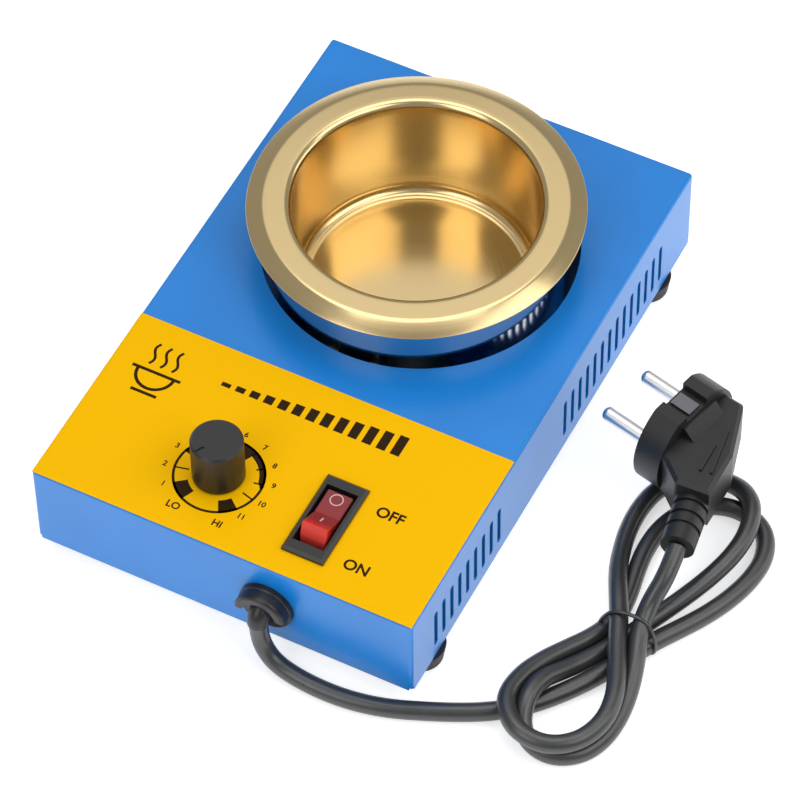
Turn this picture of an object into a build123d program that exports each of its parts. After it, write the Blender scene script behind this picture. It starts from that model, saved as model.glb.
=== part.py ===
"""Table-top solder pot with a folded steel housing, a heated cup, a dial and a mains switch.

The frame has +X to the right of the panel, +Y to the back and +Z up. The origin lies on the
table, under the middle of the housing. All sizes are in millimetres.
"""

import os
from math import acos, cos, degrees, pi, radians, sin, tan

from build123d import *

os.makedirs("parts", exist_ok=True)

# Housing: one steel sheet, folded and welded at the corners, open below
housing_width = 130.0
housing_length = 198.0
wall_height = 33.5
sheet = 1.0
bend_radius = 1.2
ground_clearance = 7.0
lip_width = 14.0
lip_setback = 12.0
lower_corner_radius = 2.0
vent_pitch = 5.35
vent_length = 16.4
vent_width = 2.2
vent_middle = 13.6
front_vents = 9
front_vent_setback = 37.2
rear_vents = 14
rear_vent_setback = 58.3

# Base plate and feet
base_sheet = 1.2
base_inset = 2.0
foot_radius = 8.0
foot_taper = 0.8
foot_side_inset = 6.7
foot_end_inset = 18.4
foot_recess_radius = 4.2
foot_seat = 2.2
screw_radius = 2.0
screw_head_radius = 3.6
screw_head_height = 2.4
screw_tail = 2.5
screw_clearance = 0.2
small_screw_radius = 1.45
small_head_radius = 2.8
small_head_height = 1.6
small_screw_length = 4.0

# Melting cup: one turned and coated piece with a wide collar
pot_x = -1.2
pot_setback = 64.4
cover_hole_radius = 50.8
cover_hole_x = 0.0
cup_rise = 21.1
cup_depth = 41.6
cup_mouth_radius = 40.0
cup_floor_radius = 38.6
cup_wall = 3.4
cup_floor = 3.0
collar_radius = 53.5
collar_thickness = 2.8
collar_bevel = 4.0
collar_bevel_drop = 2.0
mouth_fillet = 4.0
cup_floor_fillet = 3.0
cup_base_fillet = 6.0
stud_radius = 2.5

# Band heater clamped round the cup
band_clearance = 0.3
band_thickness = 5.0
band_gap = 8.0
band_floor_rise = 1.0
band_collar_gap = 1.6
lug_thickness = 2.0
lug_reach = 9.0
lug_height = 13.0
lug_rise = 4.0
clamp_screw_radius = 2.0
clamp_screw_tail = 2.0
post_radius = 3.5
post_length = 5.0
post_spread = 18.0
post_rise = 6.5
stem_radius = 1.6
stem_length = 4.0

# Carrier of the cup: an insulating disc on a folded bridge
disc_radius = 37.0
disc_thickness = 4.0
bridge_sheet = 1.5
bridge_bend = 2.2
bridge_width = 34.0
bridge_span = 88.0
bridge_foot = 14.0
nut_height = 4.0
nut_across_flats = 8.0

# Folded heat shield between the cup and the controls
shield_sheet = 0.8
shield_setback = 74.5
shield_side_gap = 3.0
shield_top_gap = 2.0
shield_foot = 11.0
shield_notch_width = 26.0
shield_notch_height = 14.0

# Front panel film
film_thickness = 0.3
film_length = 69.0
film_side_margin = 0.1
film_corner = 1.0
fit = 0.3

# Temperature control: potentiometer, its nut and the knob
dial_x = -13.2
dial_setback = 24.4
control_radius = 8.2
control_depth = 9.5
bushing_radius = 3.5
bushing_height = 5.0
shaft_radius = 3.0
shaft_length = 7.2
shaft_depth = 5.0
shaft_flat = 1.6
running_clearance = 0.05
press_clearance = 0.02
panel_nut_flats = 10.0
panel_nut_height = 2.2
knob_radius = 8.25
knob_height = 16.5
knob_lift = 0.8
knob_skirt_bore = 6.6
knob_skirt_depth = 5.6
knob_edge = 0.7
pointer_heading = -117.0
pointer_width = 1.0
pointer_depth = 0.5
pointer_inner = 4.6

# Mains rocker switch
switch_x = 23.9
switch_setback = 23.5
bezel_width = 14.2
bezel_length = 30.8
bezel_height = 1.9
bezel_chamfer = 0.9
switch_width = 12.6
switch_length = 27.0
switch_depth = 19.0
well_width = 10.6
well_length = 22.8
well_depth = 12.0
pivot_drop = 3.9
rocker_reach = 10.7
rocker_width = 10.0
rocker_tilt = 14.0
rocker_sink = 0.3
rocker_skirt_angle = 20.0
trunnion_radius = 1.2
trunnion_length = 0.7
blade_width = 4.8
blade_thickness = 0.8
blade_length = 8.0
blade_pitch = 8.0
latch_reach = 0.9
latch_height = 5.0
latch_width = 6.0

# Control board, its parts and the mains terminal block
board_width = 54.0
board_length = 46.0
board_thickness = 1.6
board_setback = 31.0
lip_gap = 1.0
standoff_height = 5.0
standoff_radius = 3.0
standoff_inset = 4.0
sink_width = 30.0
sink_base = 3.0
sink_fin = 8.0
sink_height = 13.0
sink_fin_count = 5
sink_setback = 6.0
triac_width = 10.2
triac_height = 9.0
triac_thickness = 4.5
capacitor_width = 18.0
capacitor_thickness = 8.0
capacitor_height = 12.0
choke_radius = 9.0
choke_bore = 4.0
choke_height = 8.0
block_setback = 53.0
block_width = 30.0
block_length = 16.0
block_height = 12.0
block_ways = 3
wire_radius = 1.1
earth_x = 12.0
earth_setback = 37.0

# Right-angled strain relief in the front wall, with the mains cord
relief_x = 16.0
relief_height = 15.5
relief_radius = 9.0
relief_flange = 2.2
relief_hood_radius = 8.7
relief_hood_bore = 5.8
relief_hood_depth = 3.9
relief_hood_cut = 1.0
relief_elbow_radius = 3.5
relief_elbow_bend = 3.8
relief_elbow_rise = 2.1
relief_elbow_drop = 1.9
relief_elbow_reach = 4.0
relief_neck_radius = 6.2
relief_neck_length = 7.0
relief_edge = 1.2
cord_radius = 3.0
cord_lift = 0.1

# Angled mains plug, lying on one side on the cord's far loops
plug_x = 96.3
plug_y = 17.0
plug_lift = 6.4
pin_heading = 166.0
plug_face_radius = 18.6
plug_half_height = 16.4
plug_rim_depth = 9.4
plug_waist_half = 9.0
plug_side_half = 15.0
plug_back = [(-15.9, -15.6), (-25.6, 2.1), (-28.1, 12.5), (-29.4, 18.4), (-18.6, 21.6), (-11.5, 17.6)]
plug_corner = 2.0
plug_edge = 1.2
plug_ribs = [((-19.3, 3.0), (-22.0, 13.7)), ((-18.9, -3.9), (-25.3, 12.4))]
rib_width = 0.9
rib_height = 0.7
grip_half = 12.6
grip_top_depth = 10.3
grip_foot_depth = 13.9
grip_start = -8.4
grip_length = 15.0
pin_radius = 2.4
pin_length = 19.0
pin_spacing = 19.0
clip_slot_width = 9.5
clip_slot_depth = 2.6
clip_width = 5.0
clip_thickness = 1.0
earth_hole_radius = 2.6
earth_hole_offset = 9.5
earth_hole_depth = 16.0
neck_start = (-23.0, 17.0)
neck_start_radius = 5.8
neck_end_radius = 5.4
neck_length = 20.0
neck_slant = 23.5
neck_grooves = 3
neck_groove_pitch = 4.2
neck_groove_width = 1.3
neck_groove_depth = 1.0

# Places that follow from the sizes above
half_width = housing_width / 2
half_length = housing_length / 2
pot_offset = half_length - pot_setback
front_vent_middle = front_vent_setback - half_length
rear_vent_middle = half_length - rear_vent_setback
shield_offset = shield_setback - half_length
dial_y = dial_setback - half_length
switch_y = switch_setback - half_length
board_x = sheet + lip_width + lip_gap + board_width / 2 - half_width
board_y = board_setback - half_length
block_x = half_width - sheet - lip_width - lip_gap - block_width / 2
block_y = block_setback - half_length
earth_y = earth_setback - half_length
wall_bottom = ground_clearance
panel_top = wall_bottom + wall_height
panel_under = panel_top - sheet
base_bottom = wall_bottom - base_sheet
film_top = panel_top + film_thickness
rim_top = panel_top + cup_rise
cup_floor_z = rim_top - cup_depth
cup_bottom = cup_floor_z - cup_floor
cup_outer_radius = cup_mouth_radius + cup_wall
collar_bottom = rim_top - collar_thickness
band_inner = cup_outer_radius + band_clearance
band_outer = band_inner + band_thickness
band_bottom = cup_bottom + band_floor_rise + cup_base_fillet / 2
band_top = collar_bottom - band_collar_gap
bridge_top = cup_bottom - disc_thickness
foot_x = half_width - foot_side_inset
foot_y = half_length - foot_end_inset
foot_places = {
    "front_left": (-foot_x, -foot_y),
    "front_right": (foot_x, -foot_y),
    "rear_left": (-foot_x, foot_y),
    "rear_right": (foot_x, foot_y),
}
board_bottom = wall_bottom + standoff_height
board_top = board_bottom + board_thickness
standoff_x = board_width / 2 - standoff_inset
standoff_y = board_length / 2 - standoff_inset
standoff_places = [
    (board_x + side * standoff_x, board_y + end * standoff_y) for side in (-1, 1) for end in (-1, 1)
]
bridge_leg = bridge_span / 2
bridge_places = [
    (pot_x + side * bridge_width / 4, pot_offset + end * (bridge_leg + bridge_foot * 0.55))
    for side in (-1, 1)
    for end in (-1, 1)
]
shield_width = housing_width - 2 * (sheet + lip_width + shield_side_gap)
shield_places = [(side * shield_width * 0.36, shield_offset - shield_foot * 0.55) for side in (-1, 1)]
earth_place = (earth_x, earth_y)
block_places = [(block_x + side * block_width / block_ways / 2, block_y) for side in (-1, 1)]
pot_axis = Axis((pot_x, pot_offset, 0), (0, 0, 1))
pot_section = Plane(origin=(pot_x, pot_offset, 0), x_dir=(1, 0, 0), z_dir=(0, -1, 0))

# Housing

with BuildPart() as housing:
    with BuildSketch(Plane.XY.offset(wall_bottom)):
        Rectangle(housing_width, housing_length)
    extrude(amount=wall_height)
    fillet(housing.edges().filter_by(Axis.Z), bend_radius)
    fillet(housing.faces().sort_by(Axis.Z)[-1].edges(), bend_radius)
    offset(amount=-sheet, openings=housing.faces().sort_by(Axis.Z)[0])
    wall_middle = wall_bottom + wall_height / 2
    with BuildSketch(Plane.XZ.offset(half_length), Plane.XZ.offset(bend_radius - half_length)):
        with Locations((0, wall_middle)):
            Rectangle(housing_width, wall_height)
        with Locations((0, wall_middle + lower_corner_radius)):
            RectangleRounded(
                housing_width, wall_height + 2 * lower_corner_radius, lower_corner_radius, mode=Mode.SUBTRACT
            )
    extrude(amount=-bend_radius, mode=Mode.SUBTRACT)
    with BuildSketch(Plane.YZ.offset(half_width), Plane.YZ.offset(bend_radius - half_width)):
        with Locations((0, wall_middle)):
            Rectangle(housing_length, wall_height)
        with Locations((0, wall_middle + lower_corner_radius)):
            RectangleRounded(
                housing_length, wall_height + 2 * lower_corner_radius, lower_corner_radius, mode=Mode.SUBTRACT
            )
    extrude(amount=-bend_radius, mode=Mode.SUBTRACT)
    with BuildSketch(Plane.XY.offset(wall_bottom)):
        with GridLocations(housing_width - sheet - lip_width, 0, 2, 1):
            Rectangle(lip_width + sheet, housing_length - 2 * lip_setback)
    extrude(amount=sheet)
    with BuildSketch(Plane.XY.offset(wall_bottom)):
        with Locations(*foot_places.values()):
            Circle(screw_radius + screw_clearance)
    extrude(amount=sheet, mode=Mode.SUBTRACT)
    with BuildSketch(Plane.XY.offset(panel_top)):
        with Locations((cover_hole_x, pot_offset)):
            Circle(cover_hole_radius)
        with Locations((dial_x, dial_y)):
            Circle(bushing_radius + screw_clearance)
        with Locations((switch_x, switch_y)):
            Rectangle(switch_width + fit, switch_length + fit)
    extrude(amount=-2 * sheet, mode=Mode.SUBTRACT)
    with BuildSketch(Plane.YZ.offset(-housing_width)):
        with Locations((front_vent_middle, wall_bottom + vent_middle)):
            with GridLocations(vent_pitch, 0, front_vents, 1):
                SlotOverall(vent_length, vent_width, rotation=90)
        with Locations((rear_vent_middle, wall_bottom + vent_middle)):
            with GridLocations(vent_pitch, 0, rear_vents, 1):
                SlotOverall(vent_length, vent_width, rotation=90)
    extrude(amount=2 * housing_width, mode=Mode.SUBTRACT)
    with BuildSketch(Plane.XZ.offset(half_length)):
        with Locations((relief_x, wall_bottom + relief_height)):
            Circle(relief_neck_radius + screw_clearance)
    extrude(amount=-2 * sheet, mode=Mode.SUBTRACT)
housing.part.label = "housing"
export_step(housing.part, "parts/housing.step")

# Base plate

with BuildPart() as base_plate:
    with BuildSketch(Plane.XY.offset(base_bottom)):
        RectangleRounded(housing_width - 2 * base_inset, housing_length - 2 * base_inset, lower_corner_radius)
        with Locations(*foot_places.values()):
            Circle(screw_radius + screw_clearance, mode=Mode.SUBTRACT)
        with Locations(*bridge_places, *shield_places, *block_places, *standoff_places, earth_place):
            Circle(small_screw_radius + screw_clearance, mode=Mode.SUBTRACT)
    extrude(amount=base_sheet)
base_plate.part.label = "base_plate"
export_step(base_plate.part, "parts/base_plate.step")

# Rubber feet, each with a recess for its screw head

for corner, place in foot_places.items():
    with BuildPart() as foot:
        with BuildSketch(Plane.XY.offset(base_bottom)):
            with Locations(place):
                Circle(foot_radius)
        with BuildSketch():
            with Locations(place):
                Circle(foot_radius - foot_taper)
        loft()
        with BuildSketch(Plane.XY.offset(base_bottom)):
            with Locations(place):
                Circle(screw_radius + screw_clearance)
        extrude(amount=-base_bottom, mode=Mode.SUBTRACT)
        with BuildSketch():
            with Locations(place):
                Circle(foot_recess_radius)
        extrude(amount=base_bottom - foot_seat, mode=Mode.SUBTRACT)
    foot.part.label = "foot_" + corner
    export_step(foot.part, "parts/foot_" + corner + ".step")

# Screws through the feet, the base plate and the lips of the housing

with BuildPart() as foot_screws:
    with BuildSketch(Plane.XY.offset(base_bottom - foot_seat)):
        with Locations(*foot_places.values()):
            Circle(screw_head_radius)
    extrude(amount=-screw_head_height)
    fillet(foot_screws.faces().group_by(Axis.Z)[0].edges(), screw_head_height / 3)
    with BuildSketch(Plane.XY.offset(base_bottom - foot_seat)):
        with Locations(*foot_places.values()):
            Circle(screw_radius)
    extrude(amount=foot_seat + base_sheet + sheet + screw_tail)
foot_screws.part.label = "foot_screws"
export_step(foot_screws.part, "parts/foot_screws.step")

# Melting cup

with BuildPart() as cup:
    with BuildSketch(pot_section) as cup_section:
        with BuildLine():
            Polyline(
                (0, cup_bottom),
                (cup_outer_radius, cup_bottom),
                (cup_outer_radius, collar_bottom),
                (collar_radius, collar_bottom),
                (collar_radius, rim_top - collar_bevel_drop),
                (collar_radius - collar_bevel, rim_top),
                (cup_mouth_radius, rim_top),
                (cup_floor_radius, cup_floor_z),
                (0, cup_floor_z),
                close=True,
            )
        make_face()
        corners = cup_section.vertices()
        fillet(corners.sort_by_distance((cup_mouth_radius, rim_top))[0], mouth_fillet)
        fillet(corners.sort_by_distance((cup_floor_radius, cup_floor_z))[0], cup_floor_fillet)
        fillet(corners.sort_by_distance((cup_outer_radius, cup_bottom))[0], cup_base_fillet)
    revolve(axis=pot_axis)
    with BuildSketch(Plane.XY.offset(cup_bottom)):
        with Locations((pot_x, pot_offset)):
            Circle(stud_radius)
    extrude(amount=-(disc_thickness + bridge_sheet + nut_height))
cup.part.label = "melting_cup"
export_step(cup.part, "parts/melting_cup.step")

# Band heater with two lugs at its split, at the back

lug_bottom = band_bottom + lug_rise
lug_middle = lug_bottom + lug_height / 2
clamp_y = pot_offset + band_outer + lug_reach / 2
with BuildPart() as heater_band:
    with BuildSketch(Plane.XY.offset(band_bottom)):
        with Locations((pot_x, pot_offset)):
            Circle(band_outer)
            Circle(band_inner, mode=Mode.SUBTRACT)
        with Locations((pot_x, pot_offset + band_outer)):
            Rectangle(band_gap, 4 * band_thickness, mode=Mode.SUBTRACT)
    extrude(amount=band_top - band_bottom)
    with BuildSketch(Plane.XY.offset(lug_bottom)):
        with Locations((pot_x, pot_offset + band_outer + (lug_reach - band_thickness / 2) / 2)):
            with GridLocations(band_gap + lug_thickness, 0, 2, 1):
                Rectangle(lug_thickness, lug_reach + band_thickness / 2)
    extrude(amount=lug_height)
    with Locations(Location((pot_x, clamp_y, lug_middle), (0, 90, 0))):
        Cylinder(
            clamp_screw_radius + screw_clearance, 2 * (band_gap + 2 * lug_thickness), mode=Mode.SUBTRACT
        )
heater_band.part.label = "heater_band"
export_step(heater_band.part, "parts/heater_band.step")

# Clamping screw and nut through the lugs

lug_face = band_gap / 2 + lug_thickness
clamp_plane = Plane(origin=(pot_x - lug_face, clamp_y, lug_middle), x_dir=(0, 1, 0), z_dir=(1, 0, 0))
with BuildPart() as clamp_screw:
    with BuildSketch(clamp_plane):
        Circle(screw_head_radius)
    extrude(amount=-screw_head_height)
    with BuildSketch(clamp_plane):
        Circle(clamp_screw_radius)
    extrude(amount=2 * lug_face + nut_height + clamp_screw_tail)
clamp_screw.part.label = "clamp_screw"
export_step(clamp_screw.part, "parts/clamp_screw.step")

with BuildPart() as clamp_nut:
    with BuildSketch(clamp_plane.offset(2 * lug_face)):
        RegularPolygon(nut_across_flats / 2, 6, major_radius=False)
        Circle(clamp_screw_radius + press_clearance, mode=Mode.SUBTRACT)
    extrude(amount=nut_height)
clamp_nut.part.label = "clamp_nut"
export_step(clamp_nut.part, "parts/clamp_nut.step")

# Ceramic posts with the heater's terminals, at the front of the band

post_z = band_bottom + post_rise
post_angle = 270.0
post_planes = []
for side in (-1, 1):
    heading = radians(post_angle + side * post_spread / 2)
    outward = (cos(heading), sin(heading), 0)
    seat = band_outer - press_clearance
    origin = (pot_x + seat * outward[0], pot_offset + seat * outward[1], post_z)
    post_planes.append(Plane(origin=origin, z_dir=outward))

with BuildPart() as heater_posts:
    for post_plane in post_planes:
        with BuildSketch(post_plane.offset(post_radius**2 / band_outer)):
            Circle(post_radius)
        extrude(amount=post_length)
heater_posts.part.label = "heater_posts"
export_step(heater_posts.part, "parts/heater_posts.step")

with BuildPart() as heater_stems:
    for post_plane in post_planes:
        with BuildSketch(post_plane.offset(post_radius**2 / band_outer + post_length)):
            Circle(stem_radius)
        extrude(amount=stem_length)
heater_stems.part.label = "heater_stems"
export_step(heater_stems.part, "parts/heater_stems.step")

# Insulating disc under the cup

with BuildPart() as insulating_disc:
    with BuildSketch(Plane.XY.offset(bridge_top)):
        with Locations((pot_x, pot_offset)):
            Circle(disc_radius)
            Circle(stud_radius + screw_clearance, mode=Mode.SUBTRACT)
    extrude(amount=disc_thickness)
insulating_disc.part.label = "insulating_disc"
export_step(insulating_disc.part, "parts/insulating_disc.step")

# Folded bridge that carries the cup on the base plate

with BuildPart() as bridge:
    with BuildLine(Plane.YZ.offset(pot_x - bridge_width / 2)):
        FilletPolyline(
            (pot_offset - bridge_leg - bridge_foot, wall_bottom),
            (pot_offset - bridge_leg, wall_bottom),
            (pot_offset - bridge_leg, bridge_top - bridge_sheet),
            (pot_offset + bridge_leg, bridge_top - bridge_sheet),
            (pot_offset + bridge_leg, wall_bottom),
            (pot_offset + bridge_leg + bridge_foot, wall_bottom),
            radius=[bridge_bend, bridge_bend - bridge_sheet, bridge_bend - bridge_sheet, bridge_bend],
        )
    make_brake_formed(thickness=bridge_sheet, station_widths=bridge_width, side=Side.LEFT)
    with BuildSketch(Plane.XY.offset(bridge_top)):
        with Locations((pot_x, pot_offset)):
            Circle(stud_radius + screw_clearance)
    extrude(amount=-2 * bridge_sheet, mode=Mode.SUBTRACT)
    with BuildSketch(Plane.XY.offset(wall_bottom)):
        with Locations(*bridge_places):
            Circle(small_screw_radius + press_clearance)
    extrude(amount=bridge_sheet, mode=Mode.SUBTRACT)
bridge.part.label = "pot_bridge"
export_step(bridge.part, "parts/pot_bridge.step")

with BuildPart() as stud_nut:
    with BuildSketch(Plane.XY.offset(bridge_top - bridge_sheet)):
        with Locations((pot_x, pot_offset)):
            RegularPolygon(nut_across_flats / 2, 6, major_radius=False)
            Circle(stud_radius + press_clearance, mode=Mode.SUBTRACT)
    extrude(amount=-nut_height)
stud_nut.part.label = "stud_nut"
export_step(stud_nut.part, "parts/stud_nut.step")

# Heat shield, folded to an L

shield_height = panel_under - wall_bottom - shield_top_gap
with BuildPart() as shield:
    with BuildLine(Plane.YZ.offset(-shield_width / 2)):
        FilletPolyline(
            (shield_offset - shield_foot, wall_bottom),
            (shield_offset, wall_bottom),
            (shield_offset, wall_bottom + shield_height),
            radius=[2 * shield_sheet],
        )
    make_brake_formed(thickness=shield_sheet, station_widths=shield_width, side=Side.RIGHT)
    with BuildSketch(Plane.XZ.offset(-shield_offset)):
        with Locations((0, wall_bottom + shield_height)):
            Rectangle(shield_notch_width, 2 * shield_notch_height)
    extrude(amount=2 * shield_sheet, both=True, mode=Mode.SUBTRACT)
    with BuildSketch(Plane.XY.offset(wall_bottom)):
        with Locations(*shield_places):
            Circle(small_screw_radius + press_clearance)
    extrude(amount=shield_sheet, mode=Mode.SUBTRACT)
shield.part.label = "heat_shield"
export_step(shield.part, "parts/heat_shield.step")

# Front panel film

film_y = -half_length + film_length / 2
with BuildPart() as film:
    with BuildSketch(Plane.XY.offset(panel_top)):
        with Locations((0, film_y + bend_radius / 2)):
            RectangleRounded(
                housing_width - 2 * (film_side_margin + bend_radius), film_length - bend_radius, film_corner
            )
        with Locations((dial_x, dial_y)):
            Circle(bushing_radius + screw_clearance, mode=Mode.SUBTRACT)
        with Locations((switch_x, switch_y)):
            Rectangle(switch_width + fit, switch_length + fit, mode=Mode.SUBTRACT)
    extrude(amount=film_thickness)
film.part.label = "panel_film"
export_step(film.part, "parts/panel_film.step")

# Potentiometer: body and threaded bushing in one

shaft_bottom = panel_under - shaft_depth
shaft_top = film_top + bushing_height + shaft_length
with BuildPart() as control:
    with BuildSketch(Plane.XY.offset(panel_under)):
        with Locations((dial_x, dial_y)):
            Circle(control_radius)
    extrude(amount=-control_depth)
    with BuildSketch(Plane.XY.offset(panel_under)):
        with Locations((dial_x, dial_y)):
            Circle(bushing_radius)
    extrude(amount=sheet + film_thickness + bushing_height)
    with BuildSketch(Plane.XY.offset(film_top + bushing_height)):
        with Locations((dial_x, dial_y)):
            Circle(shaft_radius + running_clearance)
    extrude(amount=shaft_bottom - running_clearance - film_top - bushing_height, mode=Mode.SUBTRACT)
    with BuildSketch(Plane.XY.offset(panel_under - control_depth)):
        with Locations((dial_x, dial_y - control_radius)):
            with GridLocations(control_radius / 2, 0, 3, 1):
                Rectangle(blade_thickness * 2, blade_length)
    extrude(amount=blade_thickness)
control.part.label = "potentiometer"
export_step(control.part, "parts/potentiometer.step")

with BuildPart() as panel_nut:
    with BuildSketch(Plane.XY.offset(film_top)):
        with Locations((dial_x, dial_y)):
            RegularPolygon(panel_nut_flats / 2, 6, major_radius=False)
            Circle(bushing_radius + press_clearance, mode=Mode.SUBTRACT)
    extrude(amount=panel_nut_height)
panel_nut.part.label = "potentiometer_nut"
export_step(panel_nut.part, "parts/potentiometer_nut.step")

# Potentiometer shaft with its flat, and the knob pressed on it

pointer_plane = Plane(
    origin=(dial_x, dial_y, film_top + bushing_height),
    x_dir=(cos(radians(pointer_heading)), sin(radians(pointer_heading)), 0),
    z_dir=(0, 0, 1),
)
with BuildPart() as shaft:
    with BuildSketch(pointer_plane):
        Circle(shaft_radius)
        with Locations((shaft_flat + shaft_radius, 0)):
            Rectangle(2 * shaft_radius, 2 * shaft_radius, mode=Mode.SUBTRACT)
    extrude(amount=shaft_length)
    with BuildSketch(pointer_plane):
        Circle(shaft_radius)
    extrude(amount=shaft_bottom - film_top - bushing_height)
shaft.part.label = "potentiometer_shaft"
export_step(shaft.part, "parts/potentiometer_shaft.step")

knob_bottom = film_top + knob_lift
knob_top = knob_bottom + knob_height
with BuildPart() as knob:
    with BuildSketch(Plane.XY.offset(knob_bottom)):
        with Locations((dial_x, dial_y)):
            Circle(knob_radius)
    extrude(amount=knob_height)
    chamfer(knob.faces().sort_by(Axis.Z)[-1].edges(), knob_edge)
    with BuildSketch(Plane.XY.offset(knob_bottom)):
        with Locations((dial_x, dial_y)):
            Circle(knob_skirt_bore)
    extrude(amount=knob_skirt_depth, mode=Mode.SUBTRACT)
    bore = pointer_plane.offset(knob_bottom + knob_skirt_depth - film_top - bushing_height)
    with BuildSketch(bore):
        Circle(shaft_radius + press_clearance)
        with Locations((shaft_flat + press_clearance + shaft_radius, 0)):
            Rectangle(2 * shaft_radius, 2 * shaft_radius + sheet, mode=Mode.SUBTRACT)
    extrude(amount=shaft_top - knob_bottom - knob_skirt_depth, mode=Mode.SUBTRACT)
    with BuildSketch(pointer_plane.offset(knob_top - film_top - bushing_height)):
        with Locations(((pointer_inner + knob_radius) / 2, 0)):
            Rectangle(knob_radius - pointer_inner, pointer_width)
    extrude(amount=-pointer_depth, mode=Mode.SUBTRACT)
knob.part.label = "knob"
export_step(knob.part, "parts/knob.step")

# Switch: bezel, body, rocker well and snap latches in one moulding

bezel_top = film_top + bezel_height
pivot_z = bezel_top - pivot_drop
with BuildPart() as switch_body:
    with BuildSketch(Plane.XY.offset(film_top)):
        with Locations((switch_x, switch_y)):
            Rectangle(bezel_width, bezel_length)
    extrude(amount=bezel_height)
    chamfer(switch_body.faces().sort_by(Axis.Z)[-1].edges(), bezel_chamfer)
    with BuildSketch(Plane.XY.offset(film_top)):
        with Locations((switch_x, switch_y)):
            Rectangle(switch_width, switch_length)
    extrude(amount=-switch_depth)
    with BuildSketch(Plane.XY.offset(bezel_top)):
        with Locations((switch_x, switch_y)):
            Rectangle(well_width, well_length)
    extrude(amount=-well_depth, mode=Mode.SUBTRACT)
    with Locations(Location((switch_x, switch_y, pivot_z), (0, 90, 0))):
        Cylinder(trunnion_radius + running_clearance, 2 * switch_width, mode=Mode.SUBTRACT)
    with BuildSketch(Plane.YZ.offset(switch_x)):
        for end in (-1, 1):
            wall_y = switch_y + end * switch_length / 2
            with BuildLine():
                Polyline(
                    (wall_y, panel_under),
                    (wall_y + end * latch_reach, panel_under),
                    (wall_y, panel_under - latch_height),
                    close=True,
                )
            make_face()
    extrude(amount=latch_width / 2, both=True)
switch_body.part.label = "switch_body"
export_step(switch_body.part, "parts/switch_body.step")

# Rocker: two faces that meet in a crease, on two trunnions

rocker_plane = Plane(
    origin=(switch_x, switch_y, pivot_z),
    x_dir=(0, cos(radians(rocker_tilt)), -sin(radians(rocker_tilt))),
    z_dir=(1, 0, 0),
)
crease = (pivot_drop - rocker_sink) / cos(radians(rocker_tilt))
corner_angle = radians(90 + rocker_tilt - degrees(acos((pivot_drop - rocker_sink) / rocker_reach)))
corner_x = rocker_reach * cos(corner_angle)
corner_z = rocker_reach * sin(corner_angle)
skirt_x = rocker_reach * cos(radians(rocker_skirt_angle))
skirt_z = -rocker_reach * sin(radians(rocker_skirt_angle))
with BuildPart() as rocker:
    with BuildSketch(rocker_plane):
        with BuildLine():
            Polyline((-corner_x, corner_z), (0, crease), (corner_x, corner_z))
            ThreePointArc((corner_x, corner_z), (rocker_reach, 0), (skirt_x, skirt_z))
            Line((skirt_x, skirt_z), (-skirt_x, skirt_z))
            ThreePointArc((-skirt_x, skirt_z), (-rocker_reach, 0), (-corner_x, corner_z))
        make_face()
    extrude(amount=rocker_width / 2, both=True)
    with BuildSketch(rocker_plane):
        Circle(trunnion_radius)
    extrude(amount=rocker_width / 2 + trunnion_length, both=True)
rocker.part.label = "switch_rocker"
export_step(rocker.part, "parts/switch_rocker.step")

# Switch blades

switch_bottom = film_top - switch_depth
with BuildPart() as blades:
    with BuildSketch(Plane.XY.offset(switch_bottom)):
        with Locations((switch_x, switch_y)):
            with GridLocations(0, blade_pitch, 1, 3):
                Rectangle(blade_width, blade_thickness)
    extrude(amount=-blade_length)
blades.part.label = "switch_blades"
export_step(blades.part, "parts/switch_blades.step")

# Control board on four standoffs

with BuildPart() as standoffs:
    with BuildSketch(Plane.XY.offset(wall_bottom)):
        with Locations(*standoff_places):
            RegularPolygon(standoff_radius, 6, major_radius=False)
            Circle(small_screw_radius + press_clearance, mode=Mode.SUBTRACT)
    extrude(amount=standoff_height)
standoffs.part.label = "board_standoffs"
export_step(standoffs.part, "parts/board_standoffs.step")

with BuildPart() as board:
    with BuildSketch(Plane.XY.offset(board_bottom)):
        with Locations((board_x, board_y)):
            Rectangle(board_width, board_length)
        with Locations(*standoff_places):
            Circle(small_screw_radius + screw_clearance, mode=Mode.SUBTRACT)
    extrude(amount=board_thickness)
board.part.label = "control_board"
export_step(board.part, "parts/control_board.step")

with BuildPart() as board_screws:
    with BuildSketch(Plane.XY.offset(board_top)):
        with Locations(*standoff_places):
            Circle(small_head_radius)
    extrude(amount=small_head_height)
    with BuildSketch(Plane.XY.offset(board_top)):
        with Locations(*standoff_places):
            Circle(small_screw_radius)
    extrude(amount=-(board_thickness + standoff_height / 3))
board_screws.part.label = "board_screws"
export_step(board_screws.part, "parts/board_screws.step")

# Finned heat sink with the triac on its flat side

sink_y = board_y + board_length / 2 - sink_setback - sink_fin
with BuildPart() as heat_sink:
    with BuildSketch(Plane.XY.offset(board_top)):
        with Locations((board_x, sink_y - sink_base / 2)):
            Rectangle(sink_width, sink_base)
        with Locations((board_x, sink_y + sink_fin / 2)):
            with GridLocations((sink_width - sink_base) / (sink_fin_count - 1), 0, sink_fin_count, 1):
                Rectangle(sink_base / 2, sink_fin)
    extrude(amount=sink_height)
heat_sink.part.label = "heat_sink"
export_step(heat_sink.part, "parts/heat_sink.step")

with BuildPart() as triac:
    with BuildSketch(Plane.XY.offset(board_top)):
        with Locations((board_x, sink_y - sink_base - triac_thickness / 2)):
            Rectangle(triac_width, triac_thickness)
    extrude(amount=triac_height)
triac.part.label = "triac"
export_step(triac.part, "parts/triac.step")

# Film capacitor and choke at the front of the board

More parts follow.
